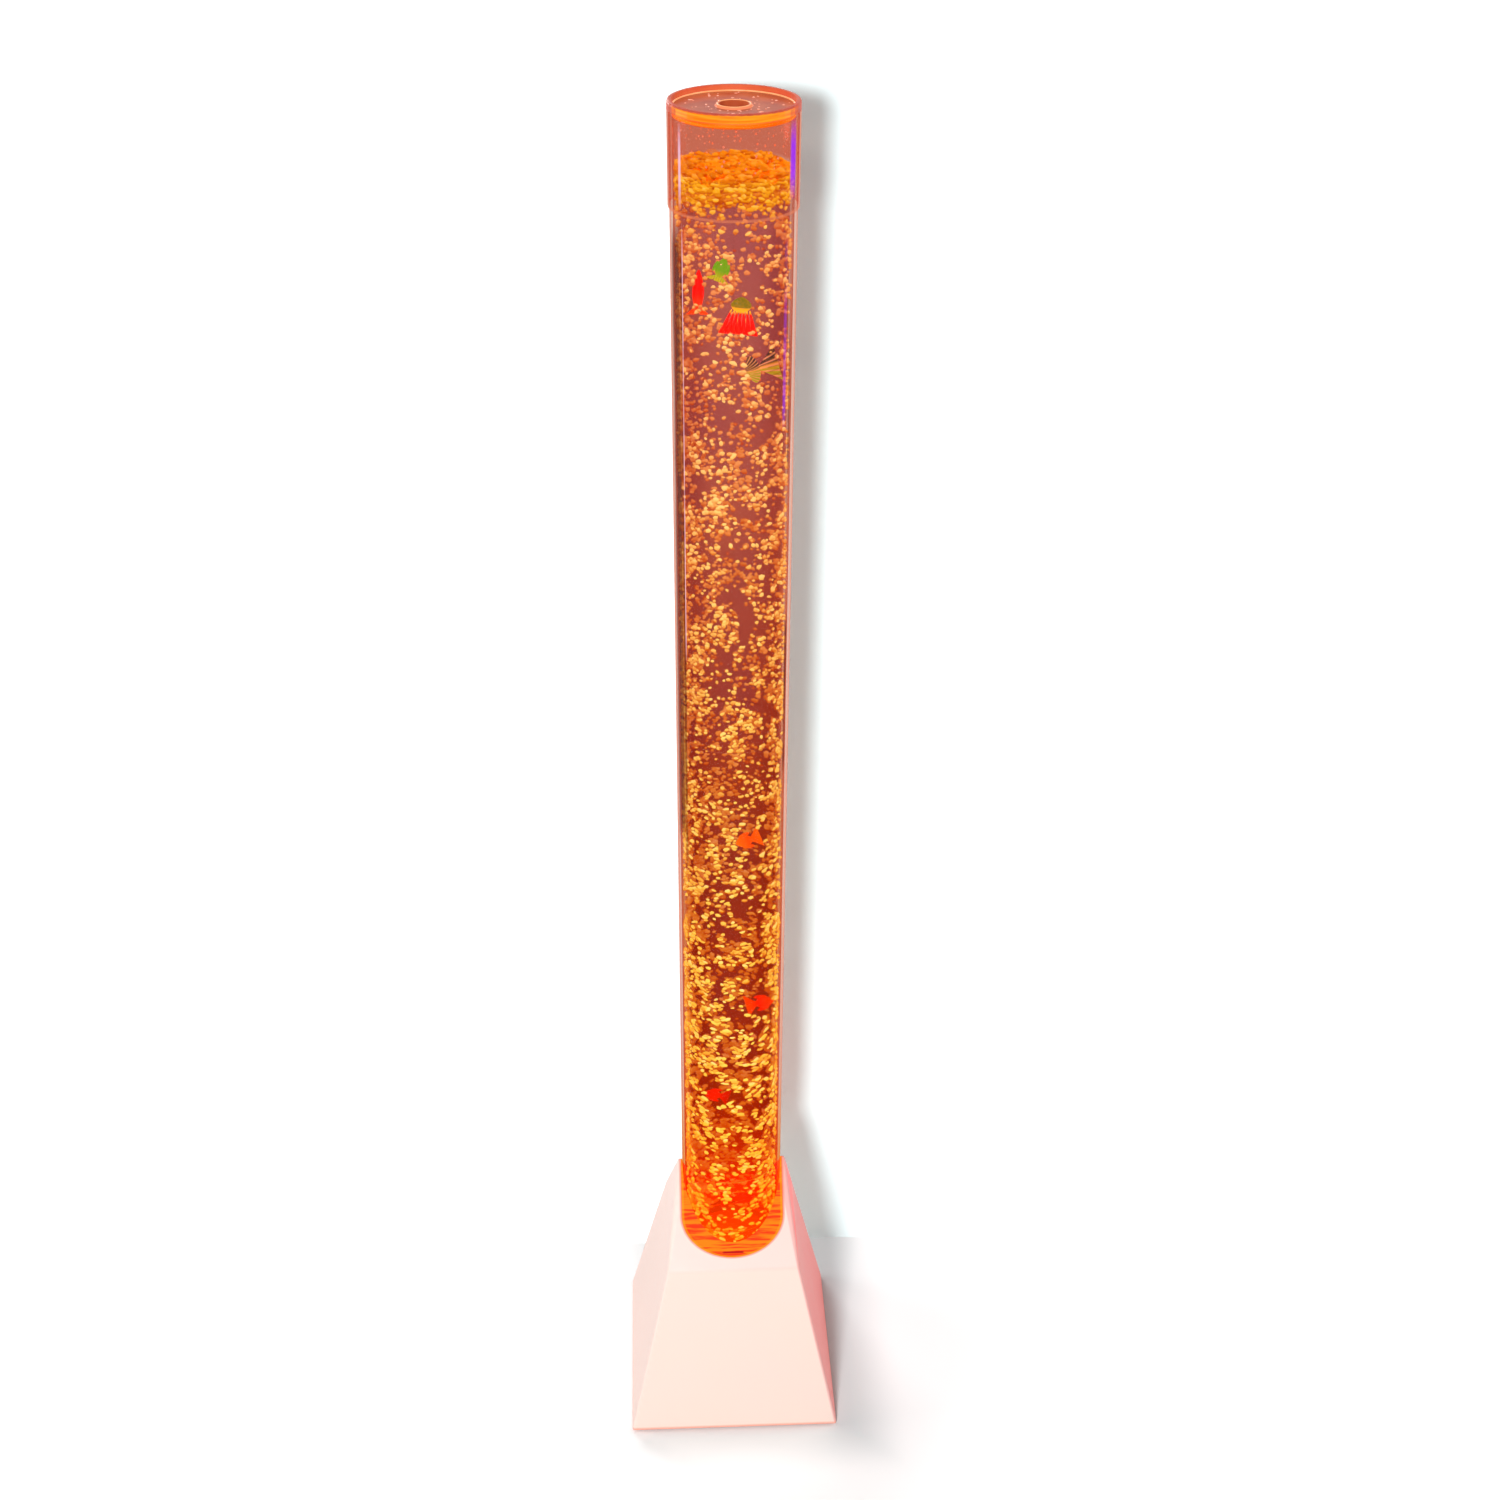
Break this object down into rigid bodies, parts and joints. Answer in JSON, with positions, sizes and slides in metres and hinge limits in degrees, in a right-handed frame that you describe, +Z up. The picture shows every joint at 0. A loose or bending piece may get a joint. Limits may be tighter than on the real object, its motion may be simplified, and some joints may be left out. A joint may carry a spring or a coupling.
{
  "type": "sensory bubble tube floor lamp",
  "caption": "Tall clear water tube with drifting model fish, a lift-off lid with a centre hole and a flared square lit base holding a small air pump.",
  "frame": {"origin": "on the floor under the tube's axis, at the middle of the underside of the four feet", "axes": "+Z up along the tube, -Y towards the front face of the base, +Y towards the control panel, +X to the right seen from the front"},
  "size_m": [0.321, 0.321, 2],
  "materials": {
    "shell_plastic": "fine satin",
    "dark_plastic": "satin",
    "black_rubber": "matte",
    "steel": "bright",
    "aluminium": "plain",
    "copper_wire": "enamelled copper wire",
    "circuit_board": "solder mask",
    "clear_acrylic": "clear polished",
    "clear_hose": "clear soft tubing",
    "frosted_collar": "frosted, carries the lamp's light",
    "lamp_lens": "frosted lens over the lamps",
    "red_plastic": "gloss",
    "smoked_window": "gloss, lets infrared through",
    "fish_green_skin": "moulded and painted",
    "fish_spindle_skin": "moulded and painted",
    "fish_rainbow_skin": "moulded and painted",
    "fish_striped_skin": "moulded and painted with dark stripes",
    "fish_orange_skin": "moulded and painted",
    "fish_coral_skin": "moulded and painted",
    "fish_red_skin": "moulded and painted",
    "fish_crimson_skin": "moulded and painted"
  },
  "bodies": {
    "stand": {"base_shell": "shell_plastic", "bottom_plate": "shell_plastic", "foot_fl": "black_rubber", "foot_fr": "black_rubber", "foot_bl": "black_rubber", "foot_br": "black_rubber", "screw_fl": "steel", "screw_fr": "steel", "screw_bl": "steel", "screw_br": "steel", "light_collar": "frosted_collar", "column_fl": "aluminium", "column_fr": "aluminium", "column_bl": "aluminium", "column_br": "aluminium", "seat_plate": "aluminium", "tube_socket": "dark_plastic", "seal_ring": "black_rubber", "tube": "clear_acrylic", "tube_floor": "clear_acrylic", "lamp_board": "circuit_board", "lamp_lens": "lamp_lens", "air_inlet": "dark_plastic", "inlet_nut": "dark_plastic", "air_diffuser": "clear_acrylic", "pump_mat": "black_rubber", "pump_case": "dark_plastic", "pump_lid": "dark_plastic", "valve_block": "shell_plastic", "diaphragm": "black_rubber", "arm_pin": "steel", "coil_winding": "copper_wire", "coil_core": "steel", "check_valve": "clear_acrylic", "pump_hose": "clear_hose", "riser_hose": "clear_hose", "board_spacer": "dark_plastic", "control_board": "circuit_board", "driver_chip": "dark_plastic", "control_panel": "dark_plastic", "switch_board": "circuit_board", "receiver_window": "smoked_window", "power_jack": "steel"},
    "lid": {"lid_plate": "clear_acrylic", "lid_sleeve": "clear_acrylic"},
    "swing_arm": {"pump_arm": "shell_plastic", "pump_magnet": "steel"},
    "pusher": {"pump_pusher": "dark_plastic"},
    "ball": {"valve_ball": "steel"},
    "power_key": {"power_button": "red_plastic"},
    "colour_key": {"colour_button": "shell_plastic"},
    "green_fish": {"fish_green": "fish_green_skin"},
    "spindle_fish": {"fish_spindle": "fish_spindle_skin"},
    "rainbow_fish": {"fish_rainbow": "fish_rainbow_skin"},
    "striped_fish": {"fish_striped": "fish_striped_skin"},
    "orange_fish": {"fish_orange": "fish_orange_skin"},
    "coral_fish": {"fish_coral": "fish_coral_skin"},
    "red_fish": {"fish_red": "fish_red_skin"},
    "crimson_fish": {"fish_crimson": "fish_crimson_skin"}
  },
  "joints": [
    {"name": "lid_lift", "type": "slide", "parent": "stand", "child": "lid", "axis": [0, 0, 1], "range_m": [0, 0.12]},
    {"name": "arm_swing", "type": "hinge", "parent": "stand", "child": "swing_arm", "pos_m": [-0.1021, -0.034, 0.0307], "axis": [0, 0, 1], "range_deg": [-2, 2], "stiffness_Nm_per_rad": 0.1},
    {"name": "pusher_stroke", "type": "slide", "parent": "stand", "child": "pusher", "axis": [1, 0, 0], "range_m": [-0.00095, 0.00095]},
    {"name": "ball_lift", "type": "slide", "parent": "stand", "child": "ball", "axis": [0, 0, 1], "range_m": [0, 0.0024]},
    {"name": "power_press", "type": "slide", "parent": "stand", "child": "power_key", "axis": [0, -0.9775, -0.2108], "range_m": [0, 0.002], "stiffness_N_per_m": 300, "springref_m": -0.002},
    {"name": "colour_press", "type": "slide", "parent": "stand", "child": "colour_key", "axis": [0, -0.9775, -0.2108], "range_m": [0, 0.002], "stiffness_N_per_m": 300, "springref_m": -0.002},
    {"name": "green_fish_swim", "type": "slide", "parent": "stand", "child": "green_fish", "axis": [0, 0, 1], "range_m": [-1.522, 0.081]},
    {"name": "spindle_fish_swim", "type": "slide", "parent": "stand", "child": "spindle_fish", "axis": [0, 0, 1], "range_m": [-1.491, 0.112]},
    {"name": "rainbow_fish_swim", "type": "slide", "parent": "stand", "child": "rainbow_fish", "axis": [0, 0, 1], "range_m": [-1.471, 0.132]},
    {"name": "striped_fish_swim", "type": "slide", "parent": "stand", "child": "striped_fish", "axis": [0, 0, 1], "range_m": [-1.394, 0.209]},
    {"name": "orange_fish_swim", "type": "slide", "parent": "stand", "child": "orange_fish", "axis": [0, 0, 1], "range_m": [-0.678, 0.925]},
    {"name": "coral_fish_swim", "type": "slide", "parent": "stand", "child": "coral_fish", "axis": [0, 0, 1], "range_m": [-0.418, 1.185]},
    {"name": "red_fish_swim", "type": "slide", "parent": "stand", "child": "red_fish", "axis": [0, 0, 1], "range_m": [-0.225, 1.378]},
    {"name": "crimson_fish_swim", "type": "slide", "parent": "stand", "child": "crimson_fish", "axis": [0, 0, 1], "range_m": [-0.026, 1.577]}
  ],
  "couplings": [
    {"joint": "pusher_stroke", "follows": "arm_swing", "m_per_rad": -0.026}
  ]
}
